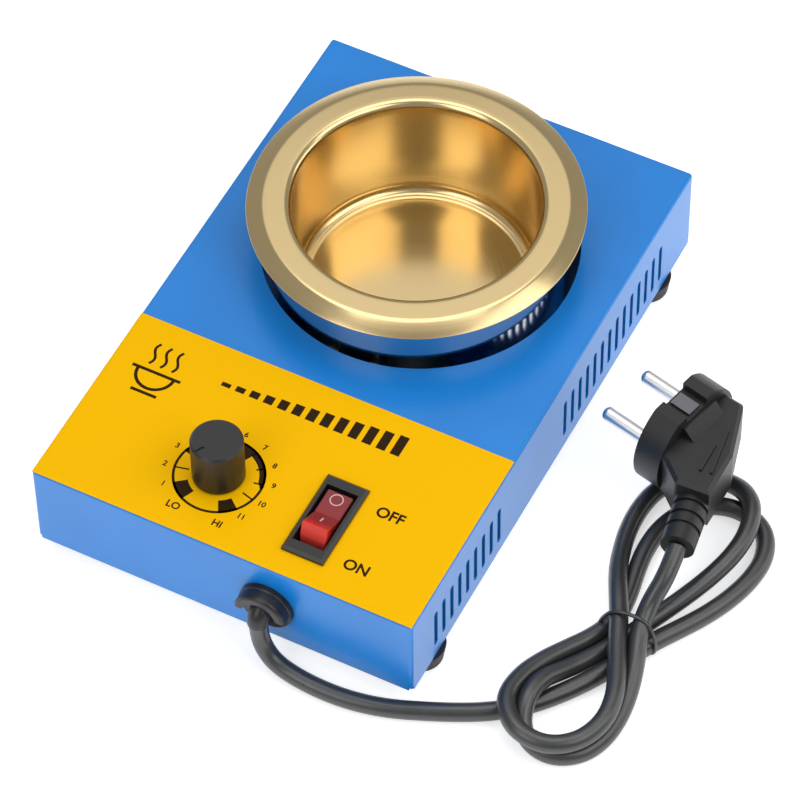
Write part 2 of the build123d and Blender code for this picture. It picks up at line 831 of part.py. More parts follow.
front_row = board_y - board_length / 2 + choke_radius + standoff_inset
with BuildPart() as capacitor:
    with BuildSketch(Plane.XY.offset(board_top)):
        with Locations((board_x - board_width / 2 + capacitor_width / 2 + standoff_inset, front_row)):
            Rectangle(capacitor_width, capacitor_thickness)
    extrude(amount=capacitor_height)
    fillet(capacitor.edges().filter_by(Axis.Z), sheet)
capacitor.part.label = "film_capacitor"
export_step(capacitor.part, "parts/film_capacitor.step")

with BuildPart() as choke:
    with BuildSketch(Plane.XY.offset(board_top)):
        with Locations((board_x + board_width / 2 - choke_radius - standoff_inset, front_row)):
            Circle(choke_radius)
            Circle(choke_bore, mode=Mode.SUBTRACT)
    extrude(amount=choke_height)
    fillet(choke.edges().group_by(Axis.Z)[-1], choke_height / 4)
choke.part.label = "choke"
export_step(choke.part, "parts/choke.step")

# Terminal block on the base plate

way_pitch = block_width / block_ways
with BuildPart() as terminal_block:
    with BuildSketch(Plane.XY.offset(wall_bottom)):
        with Locations((block_x, block_y)):
            Rectangle(block_width, block_length)
    extrude(amount=block_height)
    with BuildSketch(Plane.XY.offset(wall_bottom + block_height)):
        with Locations((block_x, block_y)):
            with GridLocations(way_pitch, 0, block_ways - 1, 1):
                Rectangle(way_pitch / 6, block_length)
    extrude(amount=-block_height / 3, mode=Mode.SUBTRACT)
    with BuildSketch(Plane.XY.offset(wall_bottom)):
        with Locations(*block_places):
            Circle(small_screw_radius + press_clearance)
    extrude(amount=block_height / 2, mode=Mode.SUBTRACT)
terminal_block.part.label = "terminal_block"
export_step(terminal_block.part, "parts/terminal_block.step")

# Earth screw with its washer, and the screws under the base plate that hold the inner pieces

with BuildPart() as earth_screw:
    with BuildSketch(Plane.XY.offset(wall_bottom)):
        with Locations(earth_place):
            Circle(small_head_radius + wire_radius)
    extrude(amount=small_head_height / 2)
    with BuildSketch(Plane.XY.offset(wall_bottom + small_head_height / 2)):
        with Locations(earth_place):
            Circle(small_head_radius)
    extrude(amount=small_head_height)
    with BuildSketch(Plane.XY.offset(wall_bottom)):
        with Locations(earth_place):
            Circle(small_screw_radius)
    extrude(amount=-2 * base_sheet)
earth_screw.part.label = "earth_screw"
export_step(earth_screw.part, "parts/earth_screw.step")

with BuildPart() as base_screws:
    with BuildSketch(Plane.XY.offset(base_bottom)):
        with Locations(*bridge_places, *shield_places, *block_places, *standoff_places):
            Circle(small_head_radius)
    extrude(amount=-small_head_height)
    chamfer(base_screws.faces().group_by(Axis.Z)[0].edges(), small_head_height / 3)
    with BuildSketch(Plane.XY.offset(base_bottom)):
        with Locations(*bridge_places, *shield_places, *block_places, *standoff_places):
            Circle(small_screw_radius)
    extrude(amount=small_screw_length)
base_screws.part.label = "base_screws"
export_step(base_screws.part, "parts/base_screws.step")

# Strain relief: flange outside, neck through the wall, barb inside and a hood over the cord

relief_z = wall_bottom + relief_height
front_plane = Plane(origin=(relief_x, -half_length, relief_z), x_dir=(1, 0, 0), z_dir=(0, -1, 0))
exit_y = -half_length - relief_flange - relief_elbow_reach
exit_z = relief_z - relief_elbow_drop
elbow_z = relief_z + relief_elbow_rise
elbow_start = (relief_x, -half_length - relief_flange / 2, elbow_z)
with BuildPart() as strain_relief:
    with BuildSketch(front_plane):
        Circle(relief_radius)
    extrude(amount=relief_flange)
    fillet(strain_relief.faces().sort_by(Axis.Y)[0].edges(), relief_flange / 3)
    with BuildSketch(front_plane.offset(relief_flange / 2)):
        Circle(relief_hood_radius)
        Circle(relief_hood_bore, mode=Mode.SUBTRACT)
        with Locations((0, relief_hood_cut - relief_radius)):
            Rectangle(4 * relief_radius, 2 * relief_radius, mode=Mode.SUBTRACT)
    extrude(amount=relief_flange / 2 + relief_hood_depth)
    fillet(strain_relief.faces().sort_by(Axis.Y)[0].edges().sort_by(SortBy.LENGTH)[-1], relief_edge)
    with BuildLine():
        FilletPolyline(
            elbow_start, (relief_x, exit_y, elbow_z), (relief_x, exit_y, exit_z), radius=relief_elbow_bend
        )
    with BuildSketch(Plane(origin=elbow_start, z_dir=(0, -1, 0))):
        Circle(relief_elbow_radius)
    sweep()
    with BuildSketch(front_plane):
        Circle(relief_neck_radius)
    extrude(amount=-relief_neck_length)
    with BuildSketch(front_plane.offset(-sheet)):
        SlotOverall(2 * relief_neck_radius + 2 * latch_reach, relief_neck_radius)
    extrude(amount=-(relief_neck_length - sheet) / 2)
strain_relief.part.label = "strain_relief"
export_step(strain_relief.part, "parts/strain_relief.step")

# Plug, in a plane with its X along the pins and its Y towards the cord

plug_z = plug_lift + plug_half_height
plug_plane = Plane(
    origin=(plug_x, plug_y, plug_z),
    x_dir=(cos(radians(pin_heading)), sin(radians(pin_heading)), 0),
    z_dir=(0, 0, 1),
)
face_plane = Plane(origin=plug_plane.origin, x_dir=plug_plane.y_dir, z_dir=plug_plane.x_dir)
slant = radians(neck_slant)
neck_origin = plug_plane.from_local_coords(Vector(*neck_start, 0))
neck_step = Vector(neck_start[0] - sin(slant), neck_start[1] + cos(slant), 0)
neck_direction = plug_plane.from_local_coords(neck_step) - neck_origin
neck_plane = Plane(origin=neck_origin, x_dir=(0, 0, 1), z_dir=neck_direction)

# Mains cord: the lead from the strain relief to the hank, and the tail from the hank to the plug.
# The route's points are chosen by hand, and each corner has the largest arc that its runs allow.

floor_z = cord_radius + cord_lift
lead_route = [
    (relief_x, exit_y, exit_z),
    (relief_x, exit_y, 15.4),
    (17.8, -106.0, 9.8),
    (22.4, -107.1, 5.3),
    (30.6, -107.9, 3.4),
    (41.0, -108.3, floor_z),
    (51.0, -107.4, floor_z),
    (61.0, -104.9, floor_z),
    (70.5, -101.0, floor_z),
    (79.5, -96.9, floor_z),
    (91.0, -90.2, floor_z),
]
tail_route = [
    tuple(neck_plane.offset(neck_length).origin),
    tuple(neck_plane.offset(neck_length + 6.0).origin),
    (119.6, -38.2, 17.4),
    (118.4, -44.6, 11.6),
]


def route_radii(route):
    """Radius at each inner point: 0.45 of the shorter run over the tangent of half the turn."""
    points = [Vector(*point) for point in route]
    radii = []
    for before, here, after in zip(points, points[1:], points[2:]):
        turn = (here - before).get_angle(after - here)
        shorter = min((here - before).length, (after - here).length)
        radii.append(0.45 * shorter / tan(radians(turn / 2)))
    return radii


stem_reach = post_radius**2 / band_outer + post_length + stem_length
left_post, right_post = post_planes
wire_start = -half_length + relief_neck_length
wire_straight = 4.0
wire_bend = 8.0
terminal_run = 12.0
lead_drop = 7.0
block_front = block_y - block_length / 2
block_back = block_y + block_length / 2
wire_z = wall_bottom + block_height / 2
earth_z = wall_bottom + small_head_height / 2 + wire_radius
blade_z = film_top - switch_depth - blade_length
board_edge = board_x + board_width / 2
board_back = board_y + board_length / 2
tag_y = dial_y - control_radius - blade_length * 0.35
tag_x = dial_x - control_radius / 2
routes = {
    "cord_lead": lead_route,
    "cord_tail": tail_route,
    "live_lead": [
        (relief_x + 2.6, wire_start, relief_z - 2.0),
        (relief_x + 2.6, wire_start + wire_straight, relief_z - 2.0),
        (block_x + way_pitch - wire_bend, wire_start + wire_bend, 12.0),
        (block_x + way_pitch, block_front - terminal_run, wire_z),
        (block_x + way_pitch, block_front, wire_z),
    ],
    "neutral_lead": [
        (relief_x, wire_start, relief_z - 3.8),
        (relief_x, wire_start + wire_straight, relief_z - 3.8),
        (block_x - 2.5, wire_start + wire_bend, 10.5),
        (block_x, block_front - terminal_run, wire_z),
        (block_x, block_front, wire_z),
    ],
    "earth_lead": [
        (relief_x - 2.6, wire_start, relief_z - 2.0),
        (relief_x - 2.6, wire_start + wire_straight, relief_z - 2.0),
        (earth_x + 0.6, wire_start + wire_bend + 3.0, 10.2),
        (earth_x, earth_y - terminal_run, earth_z),
        (earth_x, earth_y - small_head_radius, earth_z),
    ],
    "switch_lead": [
        (switch_x, switch_y + blade_pitch, blade_z),
        (switch_x, switch_y + blade_pitch, 9.8),
        (block_x - way_pitch, block_front - 7.8, 10.0),
        (block_x - way_pitch, block_front - 4.6, wire_z),
        (block_x - way_pitch, block_front, wire_z),
    ],
    "board_lead": [
        (switch_x, switch_y, blade_z),
        (switch_x, switch_y, 10.2),
        (switch_x - 7.4, switch_y, 11.0),
        (board_edge + 6.0, switch_y, board_top - board_thickness / 2),
        (board_edge, switch_y, board_top - board_thickness / 2),
    ],
    "control_lead": [
        (tag_x, tag_y, panel_under - control_depth),
        (tag_x, tag_y, 25.0),
        (tag_x - 2.0, tag_y, 19.0),
        (tag_x - 2.0, tag_y, board_top),
    ],
    "heater_lead_left": [
        tuple(left_post.offset(stem_reach).origin),
        tuple(left_post.offset(stem_reach + 1.5 * wire_straight).origin),
        (board_x + 7.5, board_back + lead_drop, 25.5),
        (board_x + 2.0, board_back - 3.3, 20.5),
        (board_x + 2.0, board_back - 3.3, board_top),
    ],
    "heater_lead_right": [
        tuple(right_post.offset(stem_reach).origin),
        tuple(right_post.offset(stem_reach + 1.5 * wire_straight).origin),
        (block_x - way_pitch - 6.0, block_back + lead_drop, 22.0),
        (block_x - way_pitch, block_back + lead_drop - 0.5, wire_z),
        (block_x - way_pitch, block_back, wire_z),
    ],
}
for tube_name, route in routes.items():
    tube_radius = cord_radius if tube_name.startswith("cord") else wire_radius
    with BuildPart() as tube:
        with BuildLine() as path:
            FilletPolyline(*route, radius=route_radii(route))
        with BuildSketch(Plane(path.line ^ 0)):
            Circle(tube_radius)
        sweep(path=path.line)
    tube.part.label = tube_name
    export_step(tube.part, "parts/" + tube_name + ".step")
    run = path.wires()[0].length
    share = tube.part.volume / (pi * tube_radius**2 * run)
    radii = [round(radius, 1) for radius in route_radii(route)]
    print(tube_name, "radii", radii, "length", round(run, 1), "volume share", round(share, 4))

# Hank of the cord: a near lobe two strands high and a far lobe one strand high, tied at the waist

strand = 2 * cord_radius + cord_lift
tie_x = 113.5
tie_y = -49.0
tie_radius = 9.5
near_x = 107.0
near_y = -84.0
near_outer = 19.4
near_inner = 10.6
far_x = 113.6
far_y = -2.0
far_outer = 21.6
side_x = 120.4
side_y = -8.5
side_outer = 20.6
far_inner_x = 117.5
far_inner_y = -6.5
far_inner = 11.0
hole_tip = 2.0
near_tip_y = -63.5
far_tip_y = -32.0
tie_wire = 1.5
tie_inner_width = 17.0
tie_width = 2.0
with BuildPart() as hank:
    with BuildSketch():
        with Locations((tie_x, tie_y)):
            Circle(tie_radius)
        with Locations((far_x, far_y)):
            Circle(far_outer)
        with Locations((side_x, side_y)):
            Circle(side_outer)
        make_hull()
    extrude(amount=strand)
    with BuildSketch():
        with Locations((far_inner_x, far_inner_y)):
            Circle(far_inner)
        with Locations((tie_x + hole_tip, far_tip_y)):
            Circle(hole_tip)
        make_hull()
    extrude(amount=strand, mode=Mode.SUBTRACT)
    with BuildSketch():
        with Locations((tie_x, tie_y)):
            Circle(tie_radius)
        with Locations((near_x, near_y)):
            Circle(near_outer)
        make_hull()
    extrude(amount=2 * strand)
    with BuildSketch():
        with Locations((near_x, near_y)):
            Circle(near_inner)
        with Locations((tie_x - hole_tip, near_tip_y)):
            Circle(hole_tip)
        make_hull()
    extrude(amount=2 * strand, mode=Mode.SUBTRACT)
    with BuildSketch(Plane.XZ.offset(-tie_y)):
        with Locations((tie_x, strand)):
            Rectangle(4 * tie_radius, 4 * strand)
            Rectangle(tie_inner_width, 2 * strand - 2 * tie_wire, mode=Mode.SUBTRACT)
    extrude(amount=tie_width / 2, both=True, mode=Mode.SUBTRACT)
hank.part.label = "cord_hank"
export_step(hank.part, "parts/cord_hank.step")

# Wire tie round the waist of the hank

with BuildPart() as tie:
    with BuildSketch(Plane.XZ.offset(-tie_y)):
        with Locations((tie_x, strand)):
            RectangleRounded(tie_inner_width + 2 * tie_wire, 2 * strand, tie_wire)
            Rectangle(tie_inner_width, 2 * strand - 2 * tie_wire, mode=Mode.SUBTRACT)
    extrude(amount=tie_width / 2, both=True)
tie.part.label = "cord_tie"
export_step(tie.part, "parts/cord_tie.step")

# Plug

rim_middle = -plug_rim_depth / 2
grip_origin = plug_plane.from_local_coords(Vector(0, grip_start, 0))
grip_plane = Plane(origin=grip_origin, x_dir=plug_plane.x_dir, z_dir=plug_plane.y_dir)
with BuildPart() as plug_body:
    with BuildSketch(plug_plane.offset(-plug_waist_half)) as plug_outline:
        with BuildLine():
            Polyline((rim_middle, -plug_side_half), *plug_back, (rim_middle, plug_side_half), close=True)
        make_face()
        fillet(plug_outline.vertices().sort_by(Axis(plug_plane.origin, plug_plane.x_dir))[:5], plug_corner)
    extrude(amount=2 * plug_waist_half)
    chamfer(plug_body.faces().sort_by(Axis.Z)[-1].edges(), plug_edge)
    chamfer(plug_body.faces().sort_by(Axis.Z)[0].edges(), plug_edge)
    with BuildSketch(plug_plane.offset(-plug_waist_half - rib_height)):
        for rib_start, rib_end in plug_ribs:
            with BuildLine():
                Line(rib_start, rib_end)
            trace(line_width=rib_width)
    extrude(amount=2 * (plug_waist_half + rib_height))
    with BuildSketch(grip_plane):
        with BuildLine():
            Polyline(
                (rim_middle, grip_half),
                (-grip_top_depth, grip_half),
                (-grip_foot_depth, plug_waist_half),
                (-grip_foot_depth, -plug_waist_half),
                (-grip_top_depth, -grip_half),
                (rim_middle, -grip_half),
                close=True,
            )
        make_face()
    extrude(amount=grip_length)
    with BuildSketch(face_plane):
        Circle(plug_face_radius)
        Rectangle(2 * plug_face_radius, 2 * plug_half_height, mode=Mode.INTERSECT)
    extrude(amount=-plug_rim_depth)
    with BuildSketch(neck_plane):
        Circle(neck_start_radius)
    with BuildSketch(neck_plane.offset(neck_length)):
        Circle(neck_end_radius)
    loft()
    for groove in range(neck_grooves):
        with BuildSketch(neck_plane.offset(neck_length / 4 + groove * neck_groove_pitch)):
            Circle(2 * neck_start_radius)
            Circle(neck_end_radius - neck_groove_depth / 2, mode=Mode.SUBTRACT)
        extrude(amount=neck_groove_width, mode=Mode.SUBTRACT)
    with BuildSketch(face_plane):
        with GridLocations(0, 2 * plug_half_height, 1, 2):
            Rectangle(clip_slot_width, 2 * clip_slot_depth)
    extrude(amount=-plug_rim_depth, mode=Mode.SUBTRACT)
    with BuildSketch(face_plane):
        with Locations((0, -earth_hole_offset)):
            Circle(earth_hole_radius)
    extrude(amount=-earth_hole_depth, mode=Mode.SUBTRACT)
plug_body.part.label = "plug_body"
export_step(plug_body.part, "parts/plug_body.step")

with BuildPart() as plug_pins:
    with BuildSketch(face_plane):
        with GridLocations(pin_spacing, 0, 2, 1):
            Circle(pin_radius)
    extrude(amount=pin_length)
    tips = plug_pins.faces().filter_by(GeomType.PLANE).sort_by(Axis(face_plane.origin, face_plane.z_dir))[-2:]
    fillet(tips.edges(), 0.8 * pin_radius)
plug_pins.part.label = "plug_pins"
export_step(plug_pins.part, "parts/plug_pins.step")

with BuildPart() as plug_clips:
    with BuildSketch(face_plane.offset(-clip_thickness)):
        with GridLocations(0, 2 * (plug_half_height - clip_slot_depth) + clip_thickness, 1, 2):
            Rectangle(clip_width, clip_thickness)
    extrude(amount=-(plug_rim_depth - 2 * clip_thickness))
plug_clips.part.label = "plug_earth_clips"
export_step(plug_clips.part, "parts/plug_earth_clips.step")
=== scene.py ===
import bpy
import numpy as np
from mathutils import Matrix


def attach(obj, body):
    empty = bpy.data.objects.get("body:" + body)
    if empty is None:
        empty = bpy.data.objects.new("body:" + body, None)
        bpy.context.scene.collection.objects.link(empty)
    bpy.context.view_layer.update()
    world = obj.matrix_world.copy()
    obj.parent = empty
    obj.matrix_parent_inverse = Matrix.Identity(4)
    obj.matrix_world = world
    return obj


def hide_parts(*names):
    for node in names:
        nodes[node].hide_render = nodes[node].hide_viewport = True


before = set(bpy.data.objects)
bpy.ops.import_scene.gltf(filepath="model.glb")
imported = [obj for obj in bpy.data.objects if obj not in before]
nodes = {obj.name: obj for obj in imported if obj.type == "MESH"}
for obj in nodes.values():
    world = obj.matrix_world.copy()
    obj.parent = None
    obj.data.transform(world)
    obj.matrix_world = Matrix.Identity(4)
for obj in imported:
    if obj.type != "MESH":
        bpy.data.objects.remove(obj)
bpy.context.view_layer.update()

# Camera
# A long lens on a tripod, above and to the right of the panel, as for a catalogue picture. It looks
# down at the pot at about 52 degrees, rolled by a hair, and has no shift and no blur.
azimuth, elevation, roll = np.radians([27.798, 52.444, -0.9087])
camera_place = 0.43452, -0.80345, 1.18524
back = np.array(
    [np.sin(azimuth) * np.cos(elevation), -np.cos(azimuth) * np.cos(elevation), np.sin(elevation)]
)
level_right = np.array([np.cos(azimuth), np.sin(azimuth), 0.0])
level_up = np.cross(back, level_right)
camera_pose = np.eye(4)
camera_pose[:3, 0] = np.cos(roll) * level_right + np.sin(roll) * level_up
camera_pose[:3, 1] = np.cos(roll) * level_up - np.sin(roll) * level_right
camera_pose[:3, 2] = back
camera_pose[:3, 3] = camera_place
lens = bpy.data.cameras.new("lens")
lens.sensor_width = 36.0
lens.lens = 210.12
lens.clip_start = 0.05
lens.clip_end = 20.0
camera = bpy.data.objects.new("camera", lens)
camera.matrix_world = Matrix(camera_pose.tolist())
bpy.context.collection.objects.link(camera)
bpy.context.scene.camera = camera
bpy.context.scene.view_settings.view_transform = "Standard"

# Floor and light
# A white paper sweep that runs on past the picture and glows a little, so that shadows are faint, and
# large soft boxes in a dim room, so that polished metal mirrors both bright and dark.


def linear(colour):
    """sRGB hex to linear light: c / 12.92 up to 0.04045, else ((c + 0.055) / 1.055) ** 2.4, with alpha 1."""
    values = np.array([int(colour[i : i + 2], 16) for i in (1, 3, 5)]) / 255.0
    values = np.where(values <= 0.04045, values / 12.92, ((values + 0.055) / 1.055) ** 2.4)
    return (*values.tolist(), 1.0)


def add(tree, kind, inputs=None, **settings):
    """Adds one node with its settings, and fills each input with a link or a value."""
    node = tree.nodes.new(kind)
    for name, value in settings.items():
        setattr(node, name, value)
    for name, value in (inputs or {}).items():
        if isinstance(value, bpy.types.NodeSocket):
            tree.links.new(value, node.inputs[name])
        else:
            node.inputs[name].default_value = value
    return node


def material(name, colour, **sockets):
    """A new Principled material of that colour, with its tree, shader and Object coordinates."""
    made = bpy.data.materials.new(name)
    made.use_nodes = True
    tree = made.node_tree
    shader = tree.nodes["Principled BSDF"]
    shader.inputs["Base Color"].default_value = linear(colour)
    for socket, value in sockets.items():
        shader.inputs[socket.replace("_", " ")].default_value = value
    return made, tree, shader, add(tree, "ShaderNodeTexCoord").outputs["Object"]


def mesh_piece(name, points, faces, finish):
    """A mesh object at the origin from points in millimetres and lists of corner numbers."""
    mesh = bpy.data.meshes.new(name)
    mesh.from_pydata((np.asarray(points, float).reshape(-1, 3) * 0.001).tolist(), [], faces)
    mesh.materials.append(finish)
    piece = bpy.data.objects.new(name, mesh)
    bpy.context.collection.objects.link(piece)
    return piece


# Matt paper: near white, no gloss, with a weak glow of its own in place of light from behind
paper_glow = 0.55
sweep_paper, tree, shader, place = material("white_sweep_paper", "#EDEDED", Roughness=0.9)
shader.inputs["Emission Color"].default_value = linear("#FFFFFF")
shader.inputs["Emission Strength"].default_value = paper_glow
floor_reach = 3000.0
floor_corners = floor_reach * np.array([(-1, -1, 0), (1, -1, 0), (1, 1, 0), (-1, 1, 0)])
floor = mesh_piece("floor", floor_corners, [(0, 1, 2, 3)], sweep_paper)

# The room is even, and a little darker behind the camera, where the photographer stands
room_light, light_behind_camera = 0.42, 0.36
fade_start, fade_end = 0.9, 0.97
room = bpy.data.worlds.new("dim_room")
room.use_nodes = True
sky = room.node_tree.nodes["Background"]
sky.inputs["Color"].default_value = linear("#F3F6FA")
outward = add(room.node_tree, "ShaderNodeTexCoord").outputs["Generated"]
towards_camera = add(
    room.node_tree, "ShaderNodeVectorMath", {0: outward, 1: tuple(back.tolist())}, operation="DOT_PRODUCT"
)
shade = add(
    room.node_tree,
    "ShaderNodeMapRange",
    {
        "Value": towards_camera.outputs["Value"],
        "From Min": fade_start,
        "From Max": fade_end,
        "To Min": room_light,
        "To Max": light_behind_camera,
    },
)
room.node_tree.links.new(shade.outputs["Result"], sky.inputs["Strength"])
bpy.context.scene.world = room


def soft_box(name, place, width, height, watts, aim=(0, 0, 0)):
    """An area light at place that looks at aim: its local -Z runs from place to aim."""
    lamp = bpy.data.lights.new(name, "AREA")
    lamp.shape = "RECTANGLE"
    lamp.size = width
    lamp.size_y = height
    lamp.energy = watts
    away = np.subtract(place, aim)
    away = away / np.linalg.norm(away)
    side = np.cross([0.0, 0.0, 1.0], away)
    side = side / np.linalg.norm(side)
    pose = np.eye(4)
    pose[:3, :3] = np.stack([side, np.cross(away, side), away], axis=1)
    pose[:3, 3] = place
    stand = bpy.data.objects.new(name, lamp)
    stand.matrix_world = Matrix(pose.tolist())
    bpy.context.collection.objects.link(stand)


soft_box("box_left", place=(-0.32, -1.1, 1.05), width=0.7, height=1.2, watts=5.6)
soft_box("box_right", place=(1.02, -0.04, 1.2), width=1.4, height=0.9, watts=8)
soft_box("box_back", place=(-0.4, 0.71, 1.39), width=1.4, height=1.0, watts=2.6)
soft_box("box_over", place=(-0.09, 0.17, 1.6), width=1.2, height=0.9, watts=6.3)
soft_box("box_rim", place=(1.25, 0.85, 0.45), width=0.9, height=0.5, watts=2.6, aim=(0, 0, 0.03))

# Housing
# One steel sheet, punched for the vents and folded down on all sides, welded at the corners and coated
# in a half-gloss sky-blue stove enamel.


def dress(finish, *names):
    """Gives these CAD nodes one material, in place of what they came with."""
    for name in names:
        mesh = nodes[name].data
        mesh.materials.clear()
        mesh.materials.append(finish)


def noise(tree, place, size, detail):
    """A cloudy pattern from 0 to 1, with spots of about that size in metres."""
    cloud = add(tree, "ShaderNodeTexNoise", {"Vector": place, "Scale": 1 / size, "Detail": detail})
    return cloud.outputs["Fac"]


def emboss(tree, shader, pattern, strength, painted_light_along_rocker):
    """Tips the surface's normals by a height pattern of that depth in metres, and returns them."""
    bump = add(tree, "ShaderNodeBump", {"Height": pattern, "Strength": strength, "Distance": painted_light_along_rocker})
    tree.links.new(bump.outputs["Normal"], shader.inputs["Normal"])
    return bump.outputs["Normal"]


def mottle(tree, shader, pattern, low, high):
    """Spreads the roughness from low to high by a pattern from 0 to 1."""
    spread = add(tree, "ShaderNodeMapRange", {"Value": pattern, "To Min": low, "To Max": high})
    tree.links.new(spread.outputs["Result"], shader.inputs["Roughness"])


def tint(tree, shader, pattern, stops, blend="LINEAR"):
    """Colours the surface by a pattern from 0 to 1, along a ramp of stops, each a position and a colour."""
    ramp = add(tree, "ShaderNodeValToRGB", {"Fac": pattern})
    ramp.color_ramp.interpolation = blend
    for end, (position, colour) in zip(ramp.color_ramp.elements, (stops[0], stops[-1])):
        end.position = position
        end.color = linear(colour)
    for position, colour in stops[1:-1]:
        ramp.color_ramp.elements.new(position).color = linear(colour)
    tree.links.new(ramp.outputs["Color"], shader.inputs["Base Color"])


# Stove enamel: a nearly even blue with a half gloss that shows pale at a flat angle, and a faint orange
# peel of about 1.4 mm from spraying
blue_enamel, tree, shader, place = material(
    "blue_stove_enamel", "#047CD1", Roughness=0.3, Coat_Weight=0.08, Coat_Roughness=0.16, Coat_IOR=1.5
)
cloud = noise(tree, place, size=0.035, detail=2.0)
tint(tree, shader, cloud, [(0.35, "#0279CD"), (0.65, "#067FD5")])
peel = noise(tree, place, size=0.0014, detail=1.5)
peeled = emboss(tree, shader, peel, strength=0.1, painted_light_along_rocker=0.00012)
tree.links.new(peeled, shader.inputs["Coat Normal"])
dress(blue_enamel, "housing")

# Base plate and fasteners
# A flat steel plate screwed under the lips, with the bridge, the heat shield and all plain fasteners,
# stamped, folded or headed from steel and zinc plated.
# Zinc plate: bluish grey metal with a spangle of a few millimetres and a soft shine
zinc_plate, tree, shader, place = material("zinc_plated_steel", "#B4B8BD", Metallic=1.0, Roughness=0.34)
spangle_size = 0.004
spangle = add(tree, "ShaderNodeTexVoronoi", {"Vector": place, "Scale": 1 / spangle_size})
mottle(tree, shader, spangle.outputs["Distance"], low=0.28, high=0.42)
dress(zinc_plate, "base_plate", "pot_bridge", "heat_shield", "foot_screws", "base_screws", "board_screws")
dress(zinc_plate, "clamp_screw", "clamp_nut", "stud_nut", "earth_screw", "potentiometer", "potentiometer_nut")

# Feet
# Four short tapered feet near the housing's corners, moulded in one piece each and held by a screw that
# is sunk in the middle.
# Moulded rubber: near black, matt, with a fine grain from the mould
foot_rubber, tree, shader, place = material("moulded_rubber", "#242425", Roughness=0.62)
emboss(tree, shader, noise(tree, place, size=0.0006, detail=3.0), strength=0.25, painted_light_along_rocker=0.0001)
dress(foot_rubber, "foot_front_left", "foot_front_right", "foot_rear_left", "foot_rear_right")

# Heater
# A band heater in a polished stainless sheath is clamped round the cup. Two ceramic posts carry its
# brass studs, and leads in woven glass sleeves run to them under the panel.
# Polished stainless steel: a mirror with fine lines round it from the polishing belt
polished_steel, tree, shader, place = material(
    "polished_stainless_steel", "#D3D5D8", Metallic=1.0, Roughness=0.1
)
line_pitch = 0.0006
height = add(tree, "ShaderNodeSeparateXYZ", {"Vector": place})
belt_line = add(tree, "ShaderNodeMath", {0: height.outputs["Z"], 1: 1 / line_pitch}, operation="MULTIPLY")
belt = add(tree, "ShaderNodeTexNoise", {"W": belt_line.outputs["Value"], "Scale": 1.0}, noise_dimensions="1D")
emboss(tree, shader, belt.outputs["Fac"], strength=0.05, painted_light_along_rocker=0.00005)
dress(polished_steel, "heater_band")
# Steatite: dense unglazed ceramic, off-white and dry
steatite, tree, shader, place = material("unglazed_steatite", "#DCD6C8", Roughness=0.62)
emboss(tree, shader, noise(tree, place, size=0.0015, detail=4.0), strength=0.2, painted_light_along_rocker=0.0001)
dress(steatite, "insulating_disc", "heater_posts")
# Brass: turned or stamped, a little dulled
brass, tree, shader, place = material("dull_brass", "#C6A257", Metallic=1.0, Roughness=0.32)
mottle(tree, shader, noise(tree, place, size=0.002, detail=3.0), low=0.24, high=0.42)
dress(brass, "heater_stems", "switch_blades")
# Woven glass: cream yarn in a plait of about half a millimetre
glass_sleeve, tree, shader, place = material("woven_glass_sleeve", "#E4DCC6", Roughness=0.8)
plait_size = 0.0006
plait = add(tree, "ShaderNodeTexVoronoi", {"Vector": place, "Scale": 1 / plait_size})
emboss(tree, shader, plait.outputs["Distance"], strength=0.5, painted_light_along_rocker=0.0002)
dress(glass_sleeve, "heater_lead_left", "heater_lead_right")

# Melting cup
# Turned from one piece of steel with a wide bevelled collar, then given a hard gold-coloured coat that
# molten solder doesn't wet. It hangs in the band heater and stands on the bridge by its stud.
cup_axis = (-0.0012, 0.0346)
turning_feed = 0.0009
# Gold-coloured nitride coat on turned steel: satin metal with fine rings round the axis, drawn at
# 0.9 mm because the real feed of a tenth of that is too fine to show
gold_coat, tree, shader, place = material(
    "gold_nitride_on_turned_steel", "#DCC28E", Metallic=1.0, Roughness=0.2
)
centred = add(tree, "ShaderNodeMapping", {"Vector": place, "Location": (-cup_axis[0], -cup_axis[1], 0.0)})
flat = add(
    tree, "ShaderNodeVectorMath", {0: centred.outputs["Vector"], 1: (1.0, 1.0, 0.0)}, operation="MULTIPLY"
)
radius = add(tree, "ShaderNodeVectorMath", {0: flat.outputs["Vector"]}, operation="LENGTH")
height = add(tree, "ShaderNodeSeparateXYZ", {"Vector": place})
along = add(tree, "ShaderNodeMath", {0: radius.outputs["Value"], 1: height.outputs["Z"]}, operation="ADD")
turns = add(tree, "ShaderNodeMath", {0: along.outputs["Value"], 1: 1 / turning_feed}, operation="MULTIPLY")
rings = add(
    tree,
    "ShaderNodeTexNoise",
    {"W": turns.outputs["Value"], "Scale": 1.0, "Detail": 2.0},
    noise_dimensions="1D",
)
mottle(tree, shader, rings.outputs["Fac"], low=0.17, high=0.25)
emboss(tree, shader, rings.outputs["Fac"], strength=0.06, painted_light_along_rocker=0.00004)
rim_top, collar_under, floor_top, cup_bottom, stud_end = 60.9, 57.9, 20.0, 17.0, 7.5
floor_groove, floor_fillet, lip_radius, shoulder_radius, edge_radius = 0.25, 3.2, 2.6, 4.0, 0.28
collar_heading, bevel_heading = 87.4, 64.0
cup_outer, stud_radius, corner_ease = 43.4, 2.5, 0.1


def arc_points(centre_r, centre_z, radius, start, end, count=10):
    """Points of a profile's arc: the centre plus the radius at each heading in degrees, from start to end."""
    turn = np.radians(np.linspace(start, end, count))
    return np.stack([centre_r + radius * np.cos(turn), centre_z + radius * np.sin(turn)], axis=1)


